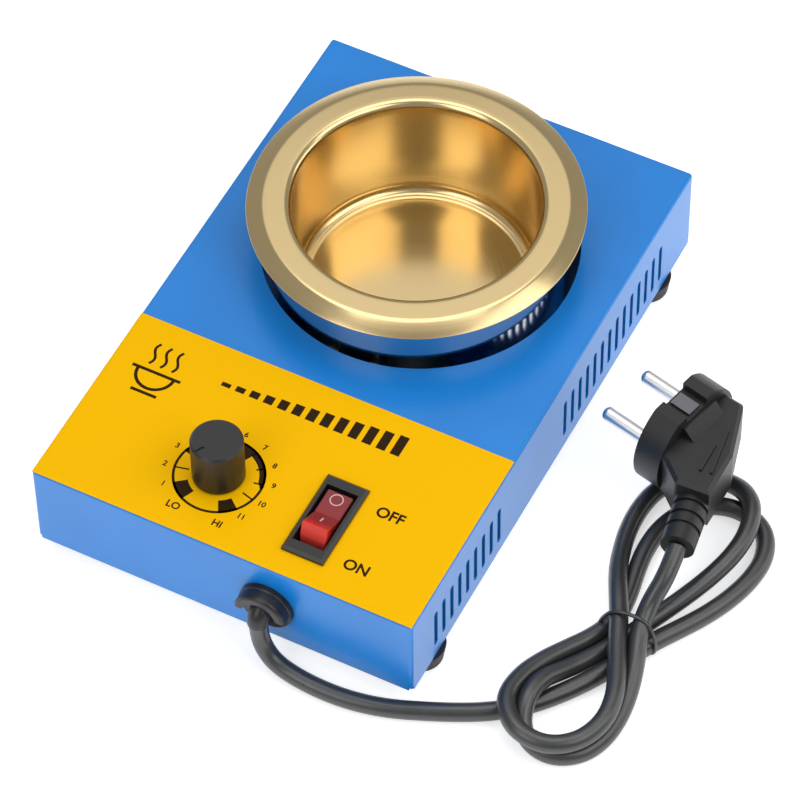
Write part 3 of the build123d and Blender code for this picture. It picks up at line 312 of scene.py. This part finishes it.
cup_inside = np.vstack([
    [(r, floor_top) for r in (0.0, 12.0, 24.0, 34.0)],
    [(r, floor_top - floor_groove) for r in (34.4, 34.9)],
    arc_points(35.3, floor_top + floor_fillet, floor_fillet, -90, -1),
    [(38.7, 32.0), (38.9, 44.0), (39.3, 56.0)],
])
cup_collar = np.vstack([
    arc_points(42.0, rim_top - lip_radius, lip_radius, 179, collar_heading),
    [(43.0, 60.86), (46.6, 60.69)],
    arc_points(47.22, 56.66, shoulder_radius, collar_heading, bevel_heading, 6),
    arc_points(53.22, 58.0, edge_radius, bevel_heading, 0, 5),
    [(53.4, collar_under)],
])
cup_outside = np.array([
    (cup_outer + corner_ease, collar_under),
    (cup_outer, collar_under - corner_ease),
    (cup_outer, 30.0),
    (cup_outer, cup_bottom + corner_ease),
    (cup_outer - corner_ease, cup_bottom),
    (stud_radius + corner_ease, cup_bottom),
    (stud_radius, cup_bottom - corner_ease),
    (stud_radius, stud_end),
    (0.0, stud_end),
])


def turned(profile, axis, count=192):
    """A closed turned surface: each profile point goes round the axis in equal steps, and the two points on
    the axis close it with fans."""
    turn = np.linspace(0, 2 * np.pi, count, endpoint=False)
    ring = profile[1:-1]
    side = ring[:, :1] * np.cos(turn) + axis[0], ring[:, :1] * np.sin(turn) + axis[1]
    points = np.stack([*side, np.broadcast_to(ring[:, 1:], side[0].shape)], axis=2).reshape(-1, 3)
    ends = [(axis[0], axis[1], profile[0, 1]), (axis[0], axis[1], profile[-1, 1])]
    number = np.arange(len(points)).reshape(len(ring), count)
    ahead = np.roll(number, -1, axis=1)
    faces = np.stack([number[:-1], number[1:], ahead[1:], ahead[:-1]], axis=2).reshape(-1, 4).tolist()
    first_end = np.full(count, len(points))
    faces += np.stack([first_end, number[0], ahead[0]], axis=1).tolist()
    faces += np.stack([first_end + 1, ahead[-1], number[-1]], axis=1).tolist()
    return np.vstack([points, ends]), faces


cup_points, cup_faces = turned(np.vstack([cup_inside, cup_collar, cup_outside]), np.multiply(cup_axis, 1000))
turned_cup = mesh_piece("turned_cup", cup_points, cup_faces, gold_coat)
turned_cup.data.shade_smooth()
turned_cup.data.set_sharp_from_angle(angle=np.radians(40))
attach(turned_cup, "pot")
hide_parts("melting_cup")

# Panel film
# A yellow polyester film, printed and stuck to the front of the top. Its dial scale, its switch words
# and its plain marks are printed in dark brown ink.
film_top, film_gauge = 40.8, 0.0003
film_back, film_half, film_front = -30.0, 64.85, -98.85
bend_start_x, bend_start_y, bend_outer, bend_steps = 63.8, -97.8, 1.5, 7
shaft_x, shaft_y, shaft_hole_half = -13.2, -74.6, 3.8
switch_x, switch_y, switch_hole_x, switch_hole_y = 23.9, -75.5, 6.2, 13.4
# Printed polyester: warm yellow, satin, with a very fine texture of half a millimetre
yellow_film, tree, shader, place = material(
    "satin_polyester_film", "#F5B900", Roughness=0.5, Specular_IOR_Level=0.04
)
sand = noise(tree, place, size=0.0005, detail=2.0)
emboss(tree, shader, sand, strength=0.1, painted_light_along_rocker=0.00005)
mottle(tree, shader, sand, low=0.38, high=0.5)
side_bend = np.linspace(bend_start_x, film_half, bend_steps)
front_bend = np.linspace(film_front, bend_start_y, bend_steps)
hole_halves = [shaft_hole_half, switch_hole_x, switch_hole_y]
shaft_edge, switch_edge_x, switch_edge_y = np.outer(hole_halves, [-1, 1])
film_x = np.concatenate([-side_bend, side_bend, shaft_x + shaft_edge, switch_x + switch_edge_x])
film_y = np.concatenate([front_bend, shaft_y + shaft_edge, switch_y + switch_edge_y, [film_back]])
film_x, film_y = np.unique(film_x), np.unique(film_y)


def bend_drop(past):
    """How far the bend has fallen that far past its start: the radius less the leg of its right triangle."""
    return bend_outer - np.sqrt(bend_outer**2 - np.clip(past, 0, None) ** 2)


grid_x, grid_y = np.meshgrid(film_x, film_y)
grid_z = film_top - bend_drop(np.abs(grid_x) - bend_start_x) - bend_drop(bend_start_y - grid_y)
cell_x, cell_y = np.meshgrid((film_x[1:] + film_x[:-1]) / 2, (film_y[1:] + film_y[:-1]) / 2)
shaft_hole = (np.abs(cell_x - shaft_x) < shaft_hole_half) & (np.abs(cell_y - shaft_y) < shaft_hole_half)
switch_hole = (np.abs(cell_x - switch_x) < switch_hole_x) & (np.abs(cell_y - switch_y) < switch_hole_y)
number = np.arange(grid_x.size).reshape(grid_x.shape)
film_cells = np.stack([number[:-1, :-1], number[:-1, 1:], number[1:, 1:], number[1:, :-1]], axis=2)
film_faces = film_cells[~(shaft_hole | switch_hole)].tolist()
film_sheet = mesh_piece("film_sheet", np.stack([grid_x, grid_y, grid_z], axis=2), film_faces, yellow_film)
thickness = film_sheet.modifiers.new("film_gauge", "SOLIDIFY")
thickness.thickness = film_gauge
thickness.offset = -1.0
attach(film_sheet, "pot")
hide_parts("panel_film")

# Panel print
# The dial's ring, blocks, ticks and numbers, the words at the switch, a ramp of bars and the sign of a
# warm cup, screen-printed on the film as one thin layer of ink.
# Screen-printing ink: dark brown, flat, a little thinner in places
print_ink, tree, shader, place = material(
    "brown_screen_ink", "#2A1A06", Roughness=0.6, Specular_IOR_Level=0.1
)
tint(tree, shader, noise(tree, place, size=0.0012, detail=3.0), [(0.0, "#231505"), (1.0, "#372309")])
ink_low, ink_high, boldness = -0.01, 0.03, 0.025


def stroke(path, width, closed=False):
    """A flat bar along a path in the plane: each station has four corners, half the width to each side of
    the path and a hair above and below the film, and neighbours are joined by four quads."""
    path = np.asarray(path, float)
    if closed:
        step = np.roll(path, -1, axis=0) - np.roll(path, 1, axis=0)
    else:
        step = np.gradient(path, axis=0)
    step = step / np.linalg.norm(step, axis=1, keepdims=True)
    side = np.stack([-step[:, 1], step[:, 0]], axis=1) * (np.broadcast_to(width, len(path)) / 2)[:, None]
    edges = ((path - side, ink_low), (path - side, ink_high), (path + side, ink_high), (path + side, ink_low))
    corners = [np.hstack([edge, np.full((len(path), 1), level)]) for edge, level in edges]
    number = np.arange(4 * len(path)).reshape(-1, 4)
    ahead = np.roll(number, -1, axis=0)
    quads = np.stack([number, ahead, np.roll(ahead, -1, axis=1), np.roll(number, -1, axis=1)], axis=2)
    if closed:
        faces = quads.reshape(-1, 4).tolist()
    else:
        faces = quads[:-1].reshape(-1, 4).tolist() + [number[0].tolist(), number[-1][::-1].tolist()]
    return np.stack(corners, axis=1).reshape(-1, 3), faces


def lettering(words, size, spot):
    """Points and faces of a short text in Blender's own sans serif, a thin plate centred on its spot."""
    setting = bpy.data.curves.new("setting", "FONT")
    setting.body = words
    setting.size = size
    setting.align_x = "CENTER"
    setting.align_y = "CENTER"
    setting.extrude = (ink_high - ink_low) / 2
    setting.offset = boldness * size
    block = bpy.data.objects.new("setting", setting)
    bpy.context.collection.objects.link(block)
    sheet = bpy.data.meshes.new_from_object(block.evaluated_get(bpy.context.evaluated_depsgraph_get()))
    points = np.empty(3 * len(sheet.vertices))
    sheet.vertices.foreach_get("co", points)
    faces = [list(face.vertices) for face in sheet.polygons]
    bpy.data.objects.remove(block)
    bpy.data.meshes.remove(sheet)
    return points.reshape(-1, 3) + (spot[0], spot[1], (ink_high + ink_low) / 2), faces


def merged(shapes):
    """Several shapes as one: their points in one row, and their faces' corners counted on from the row."""
    all_points, all_faces, start = [], [], 0
    for points, faces in shapes:
        all_points.append(points)
        all_faces.extend([start + corner for corner in face] for face in faces)
        start += len(points)
    return np.vstack(all_points), all_faces


dial_centre = np.array([-13.0, -74.8])


def arc(radius, start, end, count=24):
    """Points on a circle round the dial's centre, from one heading in degrees to another."""
    turn = np.radians(np.linspace(start, end, count))
    heading = np.stack([np.cos(turn), np.sin(turn)], axis=1)
    return dial_centre + heading * np.broadcast_to(radius, count)[:, None]


ring_radius, ring_line, ring_count = 14.0, 0.85, 96
block_inner, block_outer = 9.6, 14.4
ink = [stroke(arc(ring_radius, 0, 360 - 360 / ring_count, ring_count), ring_line, closed=True)]
# Four solid blocks fill parts of the band inside the ring
for start, end in ((-142.9, -114.5), (-63.0, -38.9), (62.5, 89.0), (140.0, 166.0)):
    ink.append(stroke(arc((block_inner + block_outer) / 2, start, end), block_outer - block_inner))
# The ring swells inwards on the right, from the 7 to just past the 9
swell_start, swell_full, swell_end, swell_count = 4, 14, 64, 40
swell_heading = np.linspace(swell_end, swell_start, swell_count)
swell = np.interp(swell_heading, [swell_start, swell_full, swell_end], [ring_line, 2.1, 2.4])
ink.append(stroke(arc(ring_radius + (ring_line - swell) / 2, swell_end, swell_start, swell_count), swell))
tick_width = 0.55
for heading, inner in ((-166.5, 9.4), (36.0, 11.4), (11.0, 11.0), (-15.5, 10.0)):
    tick = np.vstack([arc(tick_end, heading, heading, 1) for tick_end in (ring_radius, inner)])
    ink.append(stroke(tick, tick_width))
number_radius, number_size, first_heading, heading_step = 17.2, 2.7, -142.9, 25.6
for dial_number in range(1, 12):
    spot = arc(number_radius, first_heading - heading_step * (dial_number - 1), 0, 1)[0]
    ink.append(lettering(str(dial_number), number_size, spot))
for words, size, spot in (
    ("LO", 3.5, (-20.1, -91.0)),
    ("HI", 3.4, (-4.9, -91.2)),
    ("OFF", 5.3, (40.6, -65.3)),
    ("ON", 5.3, (40.2, -86.9)),
):
    ink.append(lettering(words, size, spot))
# A plain ramp of rising bars, from low heat to high
bar_count, bar_width, bar_foot, bar_least, bar_gain = 13, 3.1, -44.2, 1.6, 6.2
first_bar, last_bar = -27.5, 31.0
for bar, x in enumerate(np.linspace(first_bar, last_bar, bar_count)):
    rise = bar_least + bar_gain * bar / (bar_count - 1)
    ink.append(stroke([(x, bar_foot), (x, bar_foot + rise)], bar_width))
# A plain sign of a warm cup: a bowl, its rim, its foot and three waves of heat
sign_x, bowl_y, rim_y, foot_y, wave_y = -49.0, -49.5, -49.0, -57.4, -46.6
bowl_half, bowl_depth, rim_half, foot_half = 6.2, 6.0, 8.4, 4.5
wave_gap, wave_sway, wave_height = 4.0, 0.8, 8.2
sign_line, wave_line = 1.1, 0.9
bowl = np.radians(np.linspace(180, 360, 40))
bowl_path = np.stack([sign_x + bowl_half * np.cos(bowl), bowl_y + bowl_depth * np.sin(bowl)], axis=1)
ink.append(stroke(bowl_path, sign_line))
ink.append(stroke([(sign_x - rim_half, rim_y), (sign_x + rim_half, rim_y)], sign_line))
ink.append(stroke([(sign_x - foot_half, foot_y), (sign_x + foot_half, foot_y)], sign_line))
wave = np.linspace(0, 1, 30)
for x in (sign_x - wave_gap, sign_x, sign_x + wave_gap):
    wave_path = np.stack([x + wave_sway * np.sin(2 * np.pi * wave), wave_y + wave_height * wave], axis=1)
    ink.append(stroke(wave_path, wave_line))
ink_points, ink_faces = merged(ink)
panel_print = mesh_piece("panel_print", ink_points + (0, 0, film_top), ink_faces, print_ink)
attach(panel_print, "pot")

# Temperature control
# A potentiometer under the panel, held by a nut. A plain moulded knob with a pointer notch is pressed on
# its flatted shaft.
# Plain aluminium: turned or extruded, pale and satin
aluminium, tree, shader, place = material("plain_aluminium", "#C6C8CB", Metallic=1.0, Roughness=0.34)
mottle(tree, shader, noise(tree, place, size=0.001, detail=2.0), low=0.28, high=0.42)
dress(aluminium, "potentiometer_shaft", "heat_sink", "board_standoffs")
# Moulded ABS: dark grey-black, satin, with a fine spark grain from the mould
black_abs, tree, shader, place = material("moulded_black_abs", "#1F1E1D", Roughness=0.4)
emboss(tree, shader, noise(tree, place, size=0.0004, detail=3.0), strength=0.12, painted_light_along_rocker=0.00006)
dress(black_abs, "knob", "triac", "choke")

# Mains switch
# A snap-in rocker switch: a nylon bezel and body, and a translucent red rocker with a ring and a bar
# printed on its two ends. Its brass blades stand out below.
# Moulded nylon: black and satin, and paler along the bevels, where it catches the light
black_nylon, tree, shader, place = material("moulded_black_nylon", "#201E1E", Roughness=0.34)
emboss(tree, shader, noise(tree, place, size=0.0007, detail=2.0), strength=0.1, painted_light_along_rocker=0.00006)
dress(black_nylon, "switch_body", "strain_relief")
# Translucent polycarbonate: clear red, deep and dusky over the dark body, with painted light along it:
# painted bright on the lit face and peak of the raised end, painted darker on its shaded slope
red_lens, tree, shader, place = material(
    "translucent_red_polycarbonate", "#A02A2A", Roughness=0.22, Specular_IOR_Level=0.35
)
rocker_near, rocker_far = -0.085, -0.065
where = add(tree, "ShaderNodeSeparateXYZ", {"Vector": place})
painted_light_along_rocker = add(
    tree, "ShaderNodeMapRange", {"Value": where.outputs["Y"], "From Min": rocker_near, "From Max": rocker_far}
)
# Painted light: the stops run from a painted highlight on the raised end's face and peak, through painted
# shade on its slope, to the dusky red of the far half
red_painted_light_stops = [(0.1, "#EC4A3E"), (0.17, "#C8261F"), (0.3, "#8A2022"), (0.55, "#8E2C2E"), (1.0, "#803436")]
tint(tree, shader, painted_light_along_rocker.outputs["Result"], red_painted_light_stops)
rocker_half, rocker_flat, rocker_middle, rocker_peak = 4.3, 42.4, -74.6, (-82.4, 46.6)
rocker_outline = np.array([
    (-65.3, rocker_flat), (rocker_middle, rocker_flat), rocker_peak,
    (-84.1, 42.0), (-84.6, 36.5), (-66.2, 36.5), (-65.0, 39.5),
])
corner_count = len(rocker_outline)
rocker_sides = [switch_x - rocker_half, switch_x + rocker_half]
rocker_points = np.vstack([np.column_stack([np.full(corner_count, x), rocker_outline]) for x in rocker_sides])
corner = np.arange(corner_count)
ahead = np.roll(corner, -1)
rocker_faces = np.stack([corner, corner + corner_count, ahead + corner_count, ahead], axis=1).tolist()
rocker_faces += [corner.tolist(), (corner[::-1] + corner_count).tolist()]
rocker_lens = mesh_piece("rocker_lens", rocker_points, rocker_faces, red_lens)
edges = rocker_lens.modifiers.new("moulded_edges", "BEVEL")
edges.width = 0.0005
edges.segments = 3
edges.limit_method = "ANGLE"
edges.angle_limit = np.radians(35)
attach(rocker_lens, "rocker")
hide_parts("switch_rocker")
# Pad-printing ink: a pinkish white on the red, dull, a little uneven from the pad
mark_white, tree, shader, place = material("white_pad_ink", "#DDB0B0", Roughness=0.5)
mottle(tree, shader, noise(tree, place, size=0.0004, detail=2.0), low=0.4, high=0.6)
off_ring_radius, off_ring_line, off_ring_y = 2.0, 0.36, -68.2
turn = np.linspace(0, 2 * np.pi, 49)[:-1]
off_ring = off_ring_radius * np.stack([np.cos(turn), np.sin(turn)], axis=1)
off_points, off_faces = stroke(off_ring, off_ring_line, closed=True)
off_points = off_points + (switch_x, off_ring_y, rocker_flat)
# The bar lies on the slope that rises from the middle to the peak
on_bar_line, on_bar_start, on_bar_end = 0.5, 2.4, 4.8
slope = np.arctan2(rocker_peak[1] - rocker_flat, rocker_middle - rocker_peak[0])
bar_points, bar_faces = stroke([(0.0, on_bar_start), (0.0, on_bar_end)], on_bar_line)
across, uphill, above = bar_points.T
on_points = np.stack(
    [
        switch_x + across,
        rocker_middle - uphill * np.cos(slope) + above * np.sin(slope),
        rocker_flat + uphill * np.sin(slope) + above * np.cos(slope),
    ],
    axis=1,
)
on_faces = [face[::-1] for face in bar_faces]
mark_points, mark_faces = merged([(off_points, off_faces), (on_points, on_faces)])
rocker_marks = mesh_piece("rocker_marks", mark_points, mark_faces, mark_white)
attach(rocker_marks, "rocker")

# Control board and wiring
# A small phase-control board on standoffs with its parts, the mains terminal block and the hook-up
# leads, all under the panel.
# Solder mask on glass laminate: dark green, satin, with the weave showing faintly
board_mask, tree, shader, place = material("solder_mask_on_laminate", "#1F6038", Roughness=0.4)
weave_size = 0.004
weave = add(tree, "ShaderNodeTexWave", {"Vector": place, "Scale": 1 / weave_size, "Distortion": 1.0})
emboss(tree, shader, weave.outputs["Fac"], strength=0.08, painted_light_along_rocker=0.00005)
dress(board_mask, "control_board")


def moulded(name, colour, roughness, grain_size):
    """A moulded or extruded plastic: one colour and a fine noise bump of that grain."""
    made, tree, shader, place = material(name, colour, Roughness=roughness)
    emboss(tree, shader, noise(tree, place, size=grain_size, detail=2.0), strength=0.12, painted_light_along_rocker=0.00008)
    return made


# Epoxy, polyamide and PVC: plain moulding colours, satin, with a grain of about a millimetre
dress(moulded("epoxy_capacitor_case", "#B7341C", 0.32, 0.001), "film_capacitor")
dress(moulded("white_polyamide", "#E6E4DC", 0.46, 0.0008), "terminal_block")
dress(moulded("brown_pvc_insulation", "#5A341C", 0.4, 0.001), "live_lead", "switch_lead", "board_lead")
dress(moulded("blue_pvc_insulation", "#2350A4", 0.4, 0.001), "neutral_lead", "control_lead")
# Earth wire: green with a yellow stripe, which runs along it in patches about 3 mm apart
earth_pvc, tree, shader, place = material("green_and_yellow_pvc", "#3E8A2E", Roughness=0.4)
stripe_pitch = 0.003
stripe_scale = 2 * np.pi / 20 / stripe_pitch
stripe = add(tree, "ShaderNodeTexWave", {"Vector": place, "Scale": stripe_scale, "Distortion": 0.5})
tint(tree, shader, stripe.outputs["Fac"], [(0.0, "#3E8A2E"), (0.55, "#E2C53A")], blend="CONSTANT")
dress(earth_pvc, "earth_lead")

# Plug
# An angled two-pin earthed plug, moulded on the cord in one piece of soft PVC, with a round face, a grip,
# a ribbed neck, nickel-plated pins and two earth clips. It lies on its side on the folded cord.
# Soft moulded PVC: black, satin, with an eggshell surface of about a millimetre
plug_pvc, tree, shader, place = material("soft_moulded_pvc", "#1A1A1A", Roughness=0.42)
shell = noise(tree, place, size=0.001, detail=2.0)
mottle(tree, shader, shell, low=0.36, high=0.5)
emboss(tree, shader, shell, strength=0.1, painted_light_along_rocker=0.0001)
dress(plug_pvc, "plug_body")
# Nickel plate: bright, warm grey, a little scuffed
nickel, tree, shader, place = material("nickel_plated_brass", "#F0EEEA", Metallic=1.0, Roughness=0.3)
mottle(tree, shader, noise(tree, place, size=0.0008, detail=3.0), low=0.26, high=0.38)
dress(nickel, "plug_pins")
# Spring steel of the earth clips: grey and dull, from rolling and handling
spring_steel, tree, shader, place = material("dull_spring_steel", "#77767A", Metallic=1.0, Roughness=0.45)
mottle(tree, shader, noise(tree, place, size=0.001, detail=3.0), low=0.38, high=0.55)
dress(spring_steel, "plug_earth_clips")

# Mains cord
# Round three-core cord in black PVC, 6 mm thick. It leaves the bushing downwards, runs along the
# table, is folded twice into a tied hank and goes up from the tie into the plug's neck.
cord_route = np.array([
    (16.0, -105.2, 20.6), (16.0, -105.2, 15.4), (17.8, -106.0, 9.8), (22.4, -107.1, 5.3),
    (30.6, -107.9, 3.4), (41.0, -108.3, 3.1), (51.0, -107.4, 3.1), (61.0, -104.9, 3.1),
    (70.5, -101.0, 3.1), (78.6, -97.4, 3.1), (86.9, -93.0, 3.1), (94.9, -87.2, 3.1),
    (101.4, -80.3, 3.1), (107.2, -72.5, 3.1), (112.2, -64.3, 3.1), (116.5, -55.8, 3.1),
    (121.0, -47.1, 3.1), (126.2, -39.1, 3.1), (131.2, -30.9, 3.1), (135.2, -22.1, 3.1),
    (137.9, -12.9, 3.1), (138.5, -3.2, 3.1), (134.7, 6.0, 3.1), (125.5, 10.3, 3.1),
    (115.8, 8.6, 3.1), (108.5, 2.0, 3.1), (104.7, -6.9, 3.1), (103.9, -16.6, 3.1),
    (105.1, -26.1, 3.1), (107.0, -35.6, 3.1), (107.3, -45.3, 3.1), (103.7, -54.3, 3.6),
    (99.0, -62.5, 5.0), (94.7, -70.9, 6.8), (91.7, -79.9, 8.5), (91.4, -90.4, 10.3),
    (98.4, -99.2, 11.0), (109.2, -100.4, 9.9), (118.0, -94.8, 9.8), (122.1, -85.0, 9.9),
    (121.2, -75.0, 10.2), (117.6, -65.9, 9.9), (113.2, -56.7, 9.4), (109.6, -47.8, 9.5),
    (105.2, -39.2, 9.2), (101.1, -30.8, 7.0), (98.1, -22.0, 4.4), (96.0, -12.5, 3.2),
    (95.6, -3.0, 3.1), (97.5, 6.5, 3.1), (103.3, 14.5, 3.1), (112.7, 17.7, 3.5),
    (121.8, 15.6, 6.9), (128.5, 9.1, 9.9), (131.4, -0.3, 9.6), (130.8, -10.0, 8.9),
    (127.9, -19.1, 7.5), (123.9, -27.7, 5.8), (119.4, -36.0, 4.1), (115.1, -44.5, 3.2),
    (110.9, -53.3, 3.1), (106.5, -61.8, 3.8), (101.9, -70.0, 5.5), (97.7, -79.0, 9.2),
    (97.2, -88.2, 9.4), (100.4, -96.4, 4.6), (109.8, -99.2, 3.1), (118.4, -95.0, 3.1),
    (122.8, -86.9, 3.1), (123.8, -77.2, 3.7), (122.9, -67.9, 5.6), (120.6, -58.9, 8.2),
    (117.3, -50.0, 9.7), (116.5, -40.8, 13.0), (118.8, -33.9, 20.2), (117.8, -24.7, 22.8),
]) * 0.001
cord_radius = 0.003
# Extruded PVC: black, half gloss, with the slight unevenness of the cores under it
cord_pvc, tree, shader, place = material("extruded_pvc", "#2B2B2B", Roughness=0.32, Specular_IOR_Level=0.9)
uneven = noise(tree, place, size=0.004, detail=3.0)
emboss(tree, shader, uneven, strength=0.15, painted_light_along_rocker=0.0005)
mottle(tree, shader, uneven, low=0.28, high=0.42)


def round_line(name, route, radius, finish, ring=False):
    """A curve object with one NURBS spline of order 3 on these points in metres, round and of that radius."""
    line = bpy.data.curves.new(name, "CURVE")
    line.dimensions = "3D"
    line.bevel_depth = radius
    line.bevel_resolution = 5
    line.resolution_u = 6
    spline = line.splines.new("NURBS")
    spline.points.add(len(route) - 1)
    spline.points.foreach_set("co", np.hstack([route, np.ones((len(route), 1))]).ravel())
    spline.order_u = 3
    spline.use_cyclic_u = ring
    spline.use_endpoint_u = not ring
    line.materials.append(finish)
    piece = bpy.data.objects.new(name, line)
    bpy.context.collection.objects.link(piece)
    return piece


mains_cord = round_line("mains_cord", cord_route, cord_radius, cord_pvc)
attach(mains_cord, "pot")
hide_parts("cord_lead", "cord_hank", "cord_tail")

# Cord tie
# A thin tie of plastic-covered wire, drawn tight round the five strands at the waist of the hank. The
# same black PVC covers it.
tie_route = np.array([
    (103.3, -49.3, 3.2), (104.3, -49.0, 7.6), (107.4, -48.4, 12.6), (112.0, -48.0, 13.7),
    (118.4, -48.2, 14.1), (122.0, -49.0, 9.4), (123.4, -50.2, 4.2), (121.8, -50.4, 0.9),
    (113.5, -50.0, 0.8), (105.0, -49.6, 0.8),
]) * 0.001
tie_radius = 0.0006
cord_tie = round_line("tie_wire", tie_route, tie_radius, cord_pvc, ring=True)
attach(cord_tie, "pot")
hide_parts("cord_tie")
